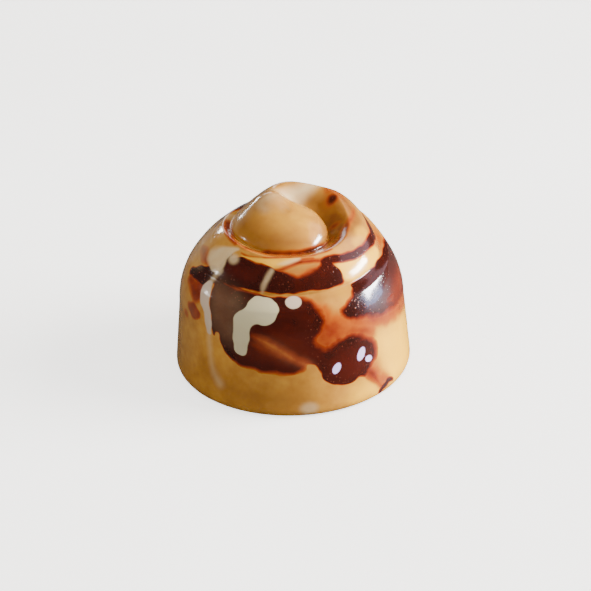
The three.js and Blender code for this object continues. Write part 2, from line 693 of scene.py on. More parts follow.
    def _uneven_offset(self) -> bpy.types.Node:
        """Makes the slight unevenness of a moulded surface, which ends at the flat underside.

        Returns:
            The node with the shift of each point along its normal.
        """
        noise = self.tree.nodes.new("ShaderNodeTexNoise")
        self.board.feed(noise.inputs["Scale"], self.dial("unevenness_per_metre"))
        noise.inputs["Detail"].default_value = UNEVENNESS_DETAIL
        position = self.board.node("GeometryNodeInputPosition").outputs[0]
        height = Wire(self.tree, self.board.node("ShaderNodeSeparateXYZ", Vector=position).outputs["Z"])
        amount = (Wire(self.tree, noise.outputs[0]) - 0.5) * self.dial("unevenness")
        amount = amount * 2.0 * height.ease(0.0, self.dial("edge_radius") * 2.0)
        scale = self.tree.nodes.new("ShaderNodeVectorMath")
        scale.operation = "SCALE"
        self.board.feed(scale.inputs[0], self.board.node("GeometryNodeInputNormal").outputs[0])
        self.board.feed(scale.inputs["Scale"], amount)
        return scale


class Coat(Enum):
    """The layers of coloured cocoa butter, and of painted shade and light, by the attribute that each is
    stored in.
    """

    DARK = "dark"
    RUST = "rust"
    # Rust-coloured stains, and painted shade along the furrow's bottom and the right crest
    THIN = "thin"
    MILK = "milk"
    # Milky veils, and painted highlights along the knob's edges
    HAZE = "haze"
    # Paler caramel, partly painted light on the tops and the lit right side
    PALE = "pale"
    # Painted shade in the furrows and creases, at the knob's foot and low on the front
    DEEP = "deep"


# The crisp coats are stored as a depth in widths of their edge's fade, and the others as a share
CRISP_COATS = (Coat.DARK, Coat.MILK)
DEEPEST = 6.0

# Steps and limits of the plan and of its lines, where the lengths are in millimetres
PLAN_STEPS = 900
LEAST_PLAN_RADIUS = 0.5
LEAST_FADE = 0.05
CURVE_STEPS = 4
STROKE_WAVER = 0.5
TINY = 1e-12


@dataclass(frozen=True)
class Waver:
    """Small shifts of the outlines in millimetres, as runny cocoa butter leaves them."""

    seed: int = 11
    waves: int = 14
    pitch: float = 1.7
    shortest: float = 0.6
    spread: float = 0.8
    height: float = 0.07
    stir: float = 7.0
    turn: float = 9.0

    def shifts(self, places: np.ndarray) -> np.ndarray:
        """Sums waves that run in random directions.

        Args:
            places: Points of the surface in millimetres, one row each.

        Returns:
            The shift at each point.
        """
        total = np.zeros(len(places))
        for x, y, z, draw in np.random.default_rng(self.seed).normal(size=(self.waves, 4)):
            direction = np.array((x, y, z)) / math.sqrt(x * x + y * y + z * z)
            pitch = self.pitch * (self.shortest + self.spread * abs(math.sin(self.stir * draw)))
            total += np.sin(places @ direction * FULL_TURN / pitch + self.turn * draw)
        return total * self.height * math.sqrt(2 / self.waves)


class SurfacePlan:
    """The surface laid flat: azimuth across and distance from the apex down, to true shape at each place."""

    def __init__(self, body: SwirlBody, mesh: bpy.types.Mesh) -> None:
        """Reads where the points of a mesh lie on the plan.

        Args:
            body: The body, for the radius at each distance.
            mesh: Its mesh, with turn and reach attributes.
        """
        self.count = len(mesh.vertices)
        turn = self._read(mesh, "turn")
        reach = self._read(mesh, "reach") / MM
        mean = (body.wall_top_radius + body.dome_rise) / 2 / MM
        top, wall = body.wall_top_radius / MM, body.wall_height / MM
        arc = mean * QUARTER_TURN
        self.steps = np.linspace(0, arc + wall + body.base_radius / MM, PLAN_STEPS)
        past = np.clip(self.steps - arc, 0, None)
        flare = (body.base_radius / MM - top) * np.minimum(past, wall) / wall
        under = np.clip(past - wall, 0, None)
        radius = top * np.sin(np.minimum(self.steps / mean, QUARTER_TURN)) + flare - under
        self.radii = np.maximum(radius, LEAST_PLAN_RADIUS)
        growth = np.diff(self.steps) * (1 / self.radii[1:] + 1 / self.radii[:-1]) / 2
        self.heights = np.concatenate([[0], np.cumsum(growth)])
        self.azimuth = (0.5 - turn) * FULL_TURN
        self.reach = reach
        self.down = np.interp(reach, self.steps, self.heights)
        self.radius = np.interp(reach, self.steps, self.radii)
        places = np.zeros(self.count * 3, np.float32)
        mesh.vertices.foreach_get("co", places)
        self.waver = Waver().shifts(places.reshape(self.count, 3).astype(float) / MM)

    def _read(self, mesh: bpy.types.Mesh, name: str) -> np.ndarray:
        """Reads a point attribute.

        Args:
            mesh: The mesh that has it.
            name: The attribute.

        Returns:
            Its number at each point.
        """
        values = np.zeros(self.count, np.float32)
        mesh.attributes[name].data.foreach_get("value", values)
        return values.astype(float)

    def spots(self, degrees: np.ndarray, reaches: np.ndarray) -> tuple[np.ndarray, np.ndarray]:
        """Places of the plan.

        Args:
            degrees: Azimuths from the front, positive to the right.
            reaches: Distances from the apex, in millimetres.

        Returns:
            Across and down on the plan.
        """
        return np.radians(degrees), np.interp(reaches, self.steps, self.heights)

    def around(self, middle: float) -> np.ndarray:
        """The azimuths of the mesh's points, counted from the side nearest to a middle azimuth."""
        turned = self.azimuth - middle
        return middle + (turned + math.pi) % FULL_TURN - math.pi


Mark = tuple[float, float, float]


def through(marks: tuple[Mark, ...], closed: bool) -> np.ndarray:
    """Draws a smooth line through marks.

    Args:
        marks: The points, three numbers each.
        closed: Whether the line comes back to its first point.

    Returns:
        The points of the line, one row each.
    """
    points = np.array(marks, float)
    count = len(points)
    rows = []
    for index in range(count if closed else count - 1):
        picks = [index - 1, index, index + 1, index + 2]
        if closed:
            before, start, end, after = (points[pick % count] for pick in picks)
        else:
            before, start, end, after = (points[min(max(pick, 0), count - 1)] for pick in picks)
        for step in range(CURVE_STEPS):
            share = step / CURVE_STEPS
            bend = (2 * before - 5 * start + 4 * end - after) * share**2
            twist = (3 * start - before - 3 * end + after) * share**3
            rows.append(start + ((end - before) * share + bend + twist) / 2)
    if not closed:
        rows.append(points[-1])
    return np.array(rows)


class PlanLine:
    """A smooth line on the plan, with a number that changes along it."""

    def __init__(self, plan: SurfacePlan, marks: tuple[Mark, ...], closed: bool) -> None:
        """Lays the line out.

        Args:
            plan: The surface laid flat.
            marks: Degrees, millimetres from the apex, and the number, at each point.
            closed: Whether the line comes back to its first point.
        """
        points = through(marks, closed)
        self.plan = plan
        self.across, self.down = plan.spots(points[:, 0], points[:, 1])
        self.numbers = points[:, 2]
        self.x = plan.around(float(self.across.mean()))
        starts = range(len(points) if closed else len(points) - 1)
        self.stretches = [(start, (start + 1) % len(points)) for start in starts]

    def measure(self, start: int, end: int) -> tuple[np.ndarray, np.ndarray]:
        """Measures to one straight stretch of the line.

        Args:
            start: The point that it starts from.
            end: The point that it ends at.

        Returns:
            For each point of the mesh, the distance on the plan and the line's number at the nearest place.
        """
        run, fall = self.across[end] - self.across[start], self.down[end] - self.down[start]
        right, below = self.x - self.across[start], self.plan.down - self.down[start]
        along = np.clip((right * run + below * fall) / (run**2 + fall**2 + TINY), 0, 1)
        far = np.hypot(right - along * run, below - along * fall)
        return far, self.numbers[start] + (self.numbers[end] - self.numbers[start]) * along

    def crosses(self, start: int, end: int) -> np.ndarray:
        """Tells which points of the mesh have a stretch of the line to their right, level with them.

        Args:
            start: The point that the stretch starts from.
            end: The point that it ends at.

        Returns:
            True for each such point.
        """
        run, fall = self.across[end] - self.across[start], self.down[end] - self.down[start]
        if fall == 0:
            return np.zeros(self.plan.count, bool)
        level = (self.down[start] > self.plan.down) != (self.down[end] > self.plan.down)
        return level & (self.x < self.across[start] + (self.plan.down - self.down[start]) * run / fall)


class MilkHue(float, Enum):
    """The tints of the pale cocoa butter, by their place on its colour ramp."""

    IVORY = 0.0
    ROSE = 0.5
    LILAC = 1.0


@dataclass(frozen=True)
class Splash:
    """A patch with an outline.

    A mark of its outline is degrees from the front and millimetres from the apex. A third number gives the
    millimetres over which the edge fades there, where they differ from the patch's own.
    """

    coat: Coat
    marks: tuple[tuple[float, ...], ...]
    fade: float = 0.2
    strength: float = 1.0
    hue: float = MilkHue.IVORY

    def depth(self, plan: SurfacePlan) -> np.ndarray:
        """How deep each point of the mesh lies in the patch.

        Args:
            plan: The surface laid flat.

        Returns:
            Distance over the fade at the nearest edge, positive inside.
        """
        line = PlanLine(plan, tuple((*mark, self.fade)[:3] for mark in self.marks), closed=True)
        nearest = np.full(plan.count, np.inf)
        fade = np.ones(plan.count)
        inside = np.zeros(plan.count, bool)
        for start, end in line.stretches:
            far, fade_here = line.measure(start, end)
            fade = np.where(far < nearest, fade_here, fade)
            nearest = np.minimum(nearest, far)
            inside ^= line.crosses(start, end)
        signed = np.where(inside, nearest, -nearest) * plan.radius + plan.waver
        return signed / np.maximum(fade, LEAST_FADE)


@dataclass(frozen=True)
class Drip:
    """A stroke along a path.

    A mark of its path is degrees from the front, millimetres from the apex, and half its width there in
    millimetres.
    """

    coat: Coat
    marks: tuple[Mark, ...]
    fade: float = 0.15
    strength: float = 1.0
    hue: float = MilkHue.IVORY

    def depth(self, plan: SurfacePlan) -> np.ndarray:
        """How deep each point of the mesh lies in the stroke.

        Args:
            plan: The surface laid flat.

        Returns:
            Distance over the fade, positive inside.
        """
        line = PlanLine(plan, self.marks, closed=False)
        deepest = np.full(plan.count, -np.inf)
        for start, end in line.stretches:
            far, half_width = line.measure(start, end)
            deepest = np.maximum(deepest, half_width - far * plan.radius)
        return (deepest + plan.waver * STROKE_WAVER) / self.fade


@dataclass(frozen=True)
class Drop:
    """An oval spot: degrees and millimetres of its middle, and half its size across and down in millimetres.

    Its lean is in degrees, positive where its right end is higher.
    """

    coat: Coat
    degrees: float
    reach: float
    half_across: float
    half_down: float
    lean: float = 0.0
    fade: float = 0.1
    strength: float = 1.0
    hue: float = MilkHue.IVORY

    def depth(self, plan: SurfacePlan) -> np.ndarray:
        """How deep each point of the mesh lies in the spot.

        Args:
            plan: The surface laid flat.

        Returns:
            Distance over the fade, positive inside.
        """
        across, down = plan.spots(np.array([self.degrees]), np.array([self.reach]))
        right = (plan.around(float(across[0])) - across[0]) * plan.radius
        below = (plan.down - down[0]) * plan.radius
        lean = math.radians(self.lean)
        long = right * math.cos(lean) - below * math.sin(lean)
        wide = right * math.sin(lean) + below * math.cos(lean)
        ring = np.hypot(long / self.half_across, wide / self.half_down)
        return (1 - ring) * min(self.half_across, self.half_down) / self.fade


SPLASHES = (
    # The band along the front of the outer winding
    Splash(Coat.DARK, (
        (-53.5, 8.6, 0.3), (-49, 8.9, 0.3), (-45, 8.6), (-41, 8.35), (-35, 8.4, 0.35), (-28, 8.5, 0.4),
        (-20, 8.8, 0.4), (-13, 9, 0.3), (-8, 9.3, 0.4), (-3, 9.6, 0.6), (0, 9.85, 0.8), (5, 10.05, 0.9),
        (10, 10.05, 1), (15, 9.9, 1), (20, 9.55, 0.8), (24, 9.05, 0.5), (27, 8.5, 0.3), (31, 8.4),
        (32.5, 9), (33.5, 9.5), (35, 10.2), (35.5, 11), (35, 11.55, 0.3), (28, 11.6), (15, 11.55),
        (0, 11.6), (-15, 11.65), (-30, 11.7), (-38, 11.8), (-46, 12.1), (-53.5, 11.9),
    )),
    # The smear down the front
    Splash(Coat.DARK, (
        (-53.5, 11.6), (-53, 12), (-51.5, 13), (-50, 14), (-49, 15), (-46, 16), (-45, 17), (-44.5, 18),
        (-43.5, 18.7), (-42, 18.2), (-40, 18.2), (-39, 18.8), (-38, 19.5), (-36.5, 20), (-34, 20.5, 0.3),
        (-31, 20.9, 0.4), (-27, 21.2, 0.5), (-22, 21.4, 0.6), (-10, 21.7, 0.6), (0, 21.6, 0.7),
        (4, 21.2, 0.8), (6, 20.8, 0.5), (8, 20.8, 0.3), (10, 21.1), (12, 21.6), (14, 22.2), (14.5, 22.8),
        (16, 23.3), (18.5, 23.7), (21, 24), (27, 24.3), (33, 24.05), (37, 23.8, 0.5), (39, 23.2, 0.8),
        (42, 22.5, 0.9), (43.5, 21.7, 0.9), (43, 20.9, 0.9), (41, 20.2, 1), (38, 19.6, 1.1),
        (33, 19.1, 1.3), (28, 18.9, 1.4), (24, 19, 1.5), (20, 19.6, 1.5), (16, 20, 1.5), (12, 19.4, 1.5),
        (9, 18.4, 1.4), (9.5, 17.4, 1.4), (12, 16.7, 1.4), (13.5, 15.8, 1.5), (13, 14.9, 1.5),
        (11, 14, 1.4), (8, 13.2, 1.1), (4, 12.7, 0.7), (0, 12.35, 0.4), (-10, 12.3), (-24, 12),
        (-38, 11.8),
    )),
    # The patch on the right shoulder
    Splash(Coat.DARK, (
        (41, 12.15), (50, 12.1), (60, 12.1), (72, 12.15), (85, 12.3), (98, 12.6, 0.3), (108, 13, 0.4),
        (120, 13.6, 0.5), (130, 14.2, 0.5), (132, 15.2, 0.6), (126, 16.2, 0.8), (116, 17, 1),
        (104, 17.8, 1.1), (94, 18, 1.2), (84, 17.8, 1.2), (76, 17.6, 1.3), (68, 17.5, 1.3),
        (60, 17.3, 1.4), (52, 16.8, 1.5), (44, 16.3, 1.5), (37, 15.9, 1.4), (32, 15.6, 1.2),
        (29, 15.2, 0.9), (30, 14.8, 0.7), (33, 14.3, 0.6), (36, 13.8, 0.5), (38, 13.3, 0.4), (40, 12.7),
    )),
    # The end of the band on the left shoulder
    Splash(Coat.DARK, (
        (-80, 13.2, 0.3), (-76, 12.6), (-71, 11.9), (-65, 11.4), (-58, 10.9), (-53, 11), (-52, 12),
        (-56, 13.1), (-62, 13.3, 0.3), (-67, 13.3, 0.5), (-73, 13.5, 0.5), (-79, 13.7, 0.4),
    )),
    # The smear down the back, with a tongue to the left
    Splash(Coat.DARK, (
        (162, 12.2), (176, 11.8), (192, 12), (206, 12.6, 0.3), (214, 13.6, 0.4), (217, 15, 0.5),
        (226, 16.2, 0.6), (238, 16.8, 0.4), (246, 17.8), (244, 19), (234, 19.4, 0.4), (222, 18.9, 0.6),
        (212, 19.4, 0.8), (205, 21, 0.6), (196, 22.3, 0.4), (186, 22.8), (178, 22.1, 0.6), (176, 20.4, 1),
        (170, 18.8, 1.4), (161, 17.8, 1.4), (155, 16.3, 1.2), (156, 14.6, 0.8), (158, 13.2, 0.4),
    )),
    # The patch over the back of the winding
    Splash(Coat.DARK, (
        (154, 8.8, 0.4), (166, 8.5, 0.3), (180, 8.6), (196, 9.1), (208, 9.2, 0.3), (218, 9.1, 0.3),
        (224, 9.6), (220, 10.3, 0.4), (206, 10.9, 0.5), (190, 10.9, 0.6), (172, 10.5, 0.6),
        (160, 10.2, 0.5),
    )),
    # Caramel stained orange between the two dark patches of the front
    Splash(Coat.RUST, (
        (13, 13.4), (18, 14), (21, 15), (28, 15.6), (33, 16.8), (40, 17.6), (46, 18.6), (42, 19.6),
        (30, 18.6), (18, 20), (8, 18.6), (10, 16),
    ), fade=1.4, strength=0.4),
    # Warm edge under the right shoulder patch
    Splash(Coat.RUST, (
        (28, 15.6), (40, 16.4), (55, 17.2), (70, 18), (88, 18.6), (100, 18.4), (96, 20), (84, 20),
        (70, 19.6), (56, 19), (44, 18.2), (32, 17.2),
    ), fade=1.4, strength=0.42),
    # The tail of the smear, down to the edge
    Splash(Coat.RUST, (
        (36, 23.2), (43, 22.4), (48, 24), (52, 25.4), (53, 26.6), (49, 26.9), (46, 26.5, 0.8),
        (43, 25.6, 0.5), (40, 24.6, 0.4),
    ), fade=1.5, strength=0.27),
    # Red-brown on the left side, with its chip
    Splash(Coat.RUST, (
        (-76, 13.8, 0.6), (-68, 13.7, 0.5), (-60, 13.4, 0.3), (-58, 14.3, 0.3), (-56.5, 15.2, 0.4),
        (-60, 15.9, 0.6), (-65, 15.7, 0.6), (-70, 15.2, 0.8), (-76, 14.7, 0.8),
    ), strength=0.5),
    Splash(Coat.RUST, (
        (-68, 16.8, 0.4), (-64, 16.3), (-60.5, 16.2), (-57, 16.5), (-54.6, 16.9), (-55, 17.6), (-58, 18.2),
        (-61.5, 18.2), (-64, 17.7),
    ), strength=0.55),
    Splash(Coat.RUST, (
        (-89, 10.9), (-83, 10.3), (-77, 10.2), (-71, 10.7), (-66, 11.2), (-74, 11.5), (-82, 11.3),
    ), fade=0.6, strength=0.5),
    # The rim behind the knob
    Splash(Coat.RUST, (
        (140, 7), (134, 6.9), (128, 7.3), (124, 8.1), (128, 8.4), (134, 8), (140, 7.5),
    ), fade=0.8, strength=0.34),
    # Thin stain beside the dark end of the stripe
    Splash(Coat.RUST, (
        (84, 10.6), (96, 10.5), (110, 10.8), (118, 11.6), (110, 12.4), (96, 12.4), (86, 12),
    ), fade=0.7, strength=0.2),
    # The caramel eye of the band
    Splash(Coat.RUST, (
        (-8, 9.3), (2, 9.1), (12, 9.1), (20, 8.8), (25, 8.7), (21, 9.1), (12, 9.6), (0, 9.7),
    ), fade=0.6, strength=0.24),
    # Warm stain round the smear of the back
    Splash(Coat.RUST, (
        (164, 17.6), (180, 17.2), (200, 19), (218, 17.6), (222, 19.6), (208, 21.4), (196, 23.2),
        (180, 23.2), (168, 20.6),
    ), fade=1.4, strength=0.36),
    # The smear's left and belly, and the band's left end, where the dark coat is thinner
    Splash(Coat.THIN, (
        (-54, 12.4), (-42, 12.6), (-33, 13.8), (-30, 16), (-31, 19), (-39, 18.6), (-46, 16.6), (-51, 14),
    ), fade=1.8, strength=0.2),
    Splash(Coat.THIN, (
        (-50, 9.4), (-38, 9.3), (-26, 9.6), (-30, 10.8), (-48, 11),
    ), fade=0.9, strength=0.13),
    Splash(Coat.THIN, (
        (-27, 17.4), (-14, 16.2), (-2, 16.4), (8, 17.4), (12, 19.4), (8, 21.2), (-2, 21.9), (-16, 21.6),
        (-28, 20.8), (-30, 19),
    ), fade=1.8, strength=0.24),
    Splash(Coat.THIN, (
        (58, 16.2), (72, 15.2), (88, 14.6), (110, 15), (112, 17), (96, 18), (80, 18), (62, 17.6),
    ), fade=1.6, strength=0.36),
    Splash(Coat.THIN, (
        (16, 21.5), (26, 20.5), (38, 20), (44, 21.5), (40, 23.4), (28, 24.2), (18, 23.6),
    ), fade=1.6, strength=0.12),
    # The veil of milk on the left of the smear and over the left of the winding
    Splash(Coat.HAZE, (
        (-55, 12), (-40, 12.2), (-30, 13.2), (-27, 15.6), (-29, 18.5), (-38, 18.8), (-46, 17), (-52, 14),
    ), fade=1.8, strength=0.11),
    Splash(Coat.HAZE, (
        (-74, 11.8), (-84, 12.8), (-96, 12.6), (-112, 11.4), (-122, 9.8), (-108, 9), (-90, 9.2), (-78, 10),
    ), fade=1.6, strength=0.34),
    Splash(Coat.HAZE, (
        (-60, 17), (-56, 20), (-60, 24), (-80, 26), (-96, 24), (-96, 19), (-80, 16.4),
    ), fade=1.8, strength=0.1),
    # Paler caramel on the knob, and along the top of the winding, partly painted light on these tops
    Splash(Coat.PALE, (
        (-20, 2.4), (20, 3), (60, 3), (90, 2.2), (120, 1.2), (-60, 0.8),
    ), fade=1.2, strength=0.16),
    Splash(Coat.PALE, (
        (70, 8), (84, 7.9), (94, 8.6), (90, 9.4), (76, 9), (62, 8.7),
    ), fade=0.5, strength=0.45),
    Splash(Coat.PALE, (
        (-40, 7.9), (-24, 7.6), (-8, 7.5), (6, 7.5), (-2, 8.2), (-12, 8.7), (-24, 8.4), (-38, 8.3),
    ), fade=0.4, strength=0.7),
    # Milky caramel on the right of the winding, under the crease and down the right wall, and with it the
    # painted light that falls from the right
    Splash(Coat.PALE, (
        (36, 9.2), (46, 9.3), (60, 9.9), (78, 10.4), (82, 11.8), (60, 11.9), (40, 11.8), (36, 11),
    ), fade=0.4, strength=0.85),
    Splash(Coat.PALE, ((28, 12.2), (38, 11.9), (36, 13), (31, 13.6)), fade=0.9, strength=0.2),
    Splash(Coat.PALE, (
        (46, 19.8), (60, 19.6), (80, 19.6), (100, 20.4), (104, 26), (56, 27.5), (32, 27), (32, 25.4),
        (46, 24),
    ), fade=2.2, strength=0.9),
    # The milky patch on the left of the winding
    Splash(Coat.HAZE, (
        (-72, 10.6, 0.6), (-75, 9.8, 0.6), (-70, 8.9, 0.6), (-60.5, 7.9, 0.3), (-50, 7.2), (-47, 7.5),
        (-51, 8.2), (-52.8, 9.2), (-52.4, 10.2), (-53.5, 11.2), (-58, 11.4), (-63.5, 11.1), (-67, 11, 0.5),
    ), strength=0.85),
    # The ivory head and the drip that runs from it
    Splash(Coat.MILK, (
        (-25, 13.3), (-22, 12.6), (-18, 12.45), (-13, 12.4), (-10, 12.9), (-8, 13.5), (-7.7, 14.1),
        (-9, 14.9), (-11, 15.4), (-15, 15.7), (-20, 15.8), (-22.3, 16.2), (-22.8, 17), (-23, 18),
        (-23.5, 19), (-24.5, 19.9), (-27, 20.2), (-29.6, 19.9), (-30.6, 19), (-31.2, 17), (-31.5, 16),
        (-31, 15.2), (-29.5, 14.8), (-27, 14.4), (-26, 13.8),
    )),
)

DRIPS = (
    # The stripe along the right of the winding
    Drip(Coat.DARK, (
        (27, 8.55, 0.2), (31, 8.5, 0.3), (37, 8.66, 0.36), (43, 8.9, 0.34), (51, 9.15, 0.32),
        (61, 9.4, 0.3), (71, 9.6, 0.28), (80, 9.84, 0.32), (88, 10.05, 0.38), (98, 10.2, 0.34),
        (106, 10.2, 0.24), (114, 10.2, 0.1),
    ), fade=0.36),
    # The scribble at the edge, below the tail
    Drip(Coat.DARK, (
        (46, 27.1, 0.06), (48, 26.7, 0.14), (50.5, 26.6, 0.12), (52.5, 26.3, 0.12), (56, 26.6, 0.04),
    ), fade=0.3),
    # The line along the crest, back left
    Drip(Coat.DARK, (
        (-104, 8.9, 0.04), (-113, 8.6, 0.12), (-122, 8.55, 0.1), (-129, 8.7, 0.18), (-135, 8.75, 0.24),
        (-142, 8.85, 0.22), (-152, 8.95, 0.1),
    ), fade=0.3),
    # The red heart of the tail
    Drip(Coat.RUST, (
        (38.5, 23.4, 0.5), (41.4, 24.2, 0.55), (43.6, 25, 0.4), (45.6, 25.9, 0.16), (47.4, 26.5, 0.04),
    ), fade=0.8, strength=0.66),
    # Painted shade in the furrow on the right and along its crest, at the knob's foot, low on the front and
    # on the knob's top left
    Drip(Coat.DEEP, (
        (26, 6.3, 0.4), (45, 6.3, 0.8), (70, 6.1, 1.2), (100, 6.2, 1.3), (120, 6.3, 1.1), (136, 6.1, 0.7),
        (150, 5.9, 0.3),
    ), fade=1, strength=0.95),
    Drip(Coat.DEEP, (
        (140, 7.6, 0.4), (122, 7.8, 0.8), (108, 8, 0.9), (96, 7.7, 0.8), (80, 7.3, 0.6), (60, 7.1, 0.3),
    ), fade=0.9, strength=0.84),
    Drip(Coat.DEEP, (
        (-100, 5, 0.6), (-75, 4.7, 1), (-50, 4.6, 1.1), (-20, 4.6, 1.1), (10, 4.8, 0.8), (32, 5.1, 0.2),
    ), fade=1.6, strength=0.8),
    Drip(Coat.DEEP, (
        (-50, 23.5, 0.8), (-30, 25, 1), (-10, 25.3, 1), (6, 25.4, 0.8),
    ), fade=1.8, strength=0.46),
    Drip(Coat.DEEP, (
        (-90, 2, 0.6), (-110, 2.7, 1), (-130, 2.6, 1), (-150, 2.2, 0.6),
    ), fade=1.4, strength=0.5),
    # The caramel eye of the band, darkened with the painted-shade coat, and painted shade under the crease
    Drip(Coat.DEEP, ((-5, 9.2, 0.2), (3, 9, 0.5), (12, 8.8, 0.5), (20, 8.8, 0.3)), fade=0.6, strength=0.36),
    Drip(Coat.DEEP, (
        (8, 12.6, 0.3), (18, 12.6, 0.4), (28, 12.8, 0.4), (36, 12.6, 0.2),
    ), fade=0.8, strength=0.28),
    # The furrow's dark bottom round the knob: painted shade in the crease, over a brown stain on the
    # furrow's outer wall
    Drip(Coat.RUST, (
        (-50, 6.9, 0.2), (-30, 6.6, 0.4), (0, 6.4, 0.5), (30, 6.5, 0.4), (46, 6.6, 0.2),
    ), fade=0.6, strength=0.26),
    Drip(Coat.RUST, (
        (-57, 6.7, 0.08), (-43, 6.55, 0.13), (-34, 6.2, 0.16), (-20, 5.92, 0.18), (5, 5.82, 0.19),
        (32, 5.82, 0.19), (55, 5.78, 0.15), (78, 5.9, 0.1),
    ), fade=0.26, strength=0.92),
    Drip(Coat.RUST, (
        (-44, 7.7, 0.04), (-36, 7.75, 0.07), (-22, 7.45, 0.08), (3, 7.15, 0.08), (24, 7.35, 0.08),
        (42, 7.4, 0.05),
    ), fade=0.24, strength=0.56),
    # The stain along the crest on the right, with painted shade on the furrow's wall below the crest
    Drip(Coat.RUST, (
        (114, 8.5, 0.04), (102, 7.7, 0.12), (90, 7, 0.2), (70, 6.82, 0.2), (48, 6.92, 0.14),
        (36, 7.25, 0.06),
    ), fade=0.45, strength=0.7),
    # Between the knob and the winding on the left
    Drip(Coat.RUST, (
        (-112, 7.5, 0.1), (-100, 7.1, 0.24), (-82, 6.75, 0.26), (-66, 6.8, 0.2), (-56, 6.95, 0.12),
    ), fade=0.5, strength=0.72),
    # The line round the caramel eye, and the smudge beside the wedge
    Drip(Coat.RUST, (
        (-11, 9.15, 0.14), (-4.6, 8.78, 0.14), (2.4, 8.3, 0.14), (11, 8.02, 0.16), (20, 8.15, 0.16),
        (27, 8.4, 0.18),
    ), fade=0.4, strength=0.78),
    Drip(Coat.RUST, ((8, 7.85, 0.06), (14, 7.75, 0.14), (21, 7.85, 0.06)), fade=0.3, strength=0.55),
    # The orange streak between the dark patches of the front
    Drip(Coat.RUST, (
        (18, 13.9, 0.2), (19, 15.1, 0.4), (19.4, 16.4, 0.5), (17, 17.5, 0.5), (13.4, 18.4, 0.4),
        (14.4, 19.3, 0.2),
    ), fade=0.9, strength=0.44),
    # Warm strip under the crease of the band
    Drip(Coat.THIN, (
        (-46, 11.95, 0.04), (-37, 12, 0.12), (-27, 12, 0.16), (-17.6, 11.98, 0.1), (-10, 11.95, 0.04),
    ), fade=0.24, strength=0.7),
    # The streak in the smear, which opens to the caramel
    Drip(Coat.THIN, (
        (-19.5, 18.6, 0.6), (-14, 18.6, 1.2), (-8, 19, 1.1), (-1, 19.8, 0.8), (6, 20.9, 0.4),
    ), fade=1.2, strength=0.52),
    Drip(Coat.THIN, (
        (-20, 17.4, 0.3), (-15, 18, 0.8), (-10, 18.7, 0.9), (-5, 19.4, 0.8), (1, 20.2, 0.6), (7, 21, 0.5),
        (10, 21.5, 0.3),
    ), fade=0.9, strength=0.66),
    Drip(Coat.THIN, (
        (-17, 17.7, 0.2), (-11, 18.4, 0.55), (-6, 19.2, 0.5), (0, 20.2, 0.36), (5, 20.9, 0.3),
        (9, 21.3, 0.3),
    ), fade=0.7, strength=0.84),
    Drip(Coat.HAZE, (
        (-16, 17.8, 0.2), (-11, 18.4, 0.5), (-6, 19.2, 0.5), (0, 20.2, 0.3), (8, 21.2, 0.2),
    ), fade=1.1, strength=0.09),
    # The long drip on the left, from the milky patch down to its faint tail
    Drip(Coat.HAZE, ((-53, 10.9, 0.4), (-55, 11.8, 0.35), (-56, 12.8, 0.4)), fade=0.3, strength=0.6),
    Drip(Coat.MILK, (
        (-56, 13, 0.4), (-55.7, 13.8, 0.68), (-54.2, 14.8, 0.7), (-51.6, 15.6, 0.5), (-49.3, 16.4, 0.46),
        (-47.8, 17.4, 0.4), (-47, 18.6, 0.22),
    ), fade=0.3, hue=MilkHue.ROSE),
    Drip(Coat.HAZE, (
        (-47, 18.6, 0.3), (-46.2, 20.4, 0.26), (-45.4, 21.7, 0.24), (-44, 22.9, 0.3), (-42.2, 23.9, 0.4),
        (-39, 24.7, 0.45),
    ), fade=0.6, strength=0.4),
    # Cream streaks on the left of the winding
    Drip(Coat.HAZE, (
        (-124, 7.8, 0.2), (-112, 8.1, 0.3), (-98, 9, 0.16), (-84, 9.4, 0.2),
    ), fade=0.5, strength=0.5),
    # The streak across the band
    Drip(Coat.HAZE, (
        (-13.4, 9.1, 0.2), (-15.6, 9.86, 0.3), (-17.2, 10.6, 0.32), (-18, 11.35, 0.26),
        (-18.2, 11.8, 0.14),
    ), fade=0.24, strength=0.5),
    # The pale wedge above the band
    Drip(Coat.HAZE, (
        (-9, 8.25, 0.08), (-5, 8.08, 0.22), (0, 7.92, 0.24), (5, 7.7, 0.17), (9.5, 7.55, 0.05),
    ), fade=0.26, strength=0.72),
    # Bloom on the knob and over the rim behind it, with painted highlights along the knob's top left, left
    # edge and back edge
    Drip(Coat.HAZE, (
        (-92, 2.2, 0.2), (-112, 2.9, 0.5), (-128, 2.6, 0.6), (-142, 2.2, 0.5), (-165, 2.4, 0.4),
    ), fade=1, strength=0.5),
    Drip(Coat.HAZE, ((-92, 5.8, 0.4), (-104, 4.8, 0.7), (-118, 3.8, 0.8)), fade=1.3, strength=0.32),
    Drip(Coat.HAZE, (
        (188, 4.4, 0.4), (178, 4.9, 0.6), (166, 5.7, 0.7), (160, 6.4, 0.6), (154, 7, 0.4),
    ), fade=1, strength=1),
    # Drips down the back
    Drip(Coat.MILK, (
        (150, 12.6, 0.5), (149, 13.6, 0.7), (147.5, 15, 0.55), (147, 17, 0.5), (146, 19, 0.45),
        (145.5, 20.6, 0.36),
    ), fade=0.2),
    Drip(Coat.MILK, (
        (226, 11.8, 0.5), (227, 13, 0.6), (229, 14.4, 0.5), (230, 15.6, 0.32),
    ), fade=0.3, hue=MilkHue.ROSE),
)

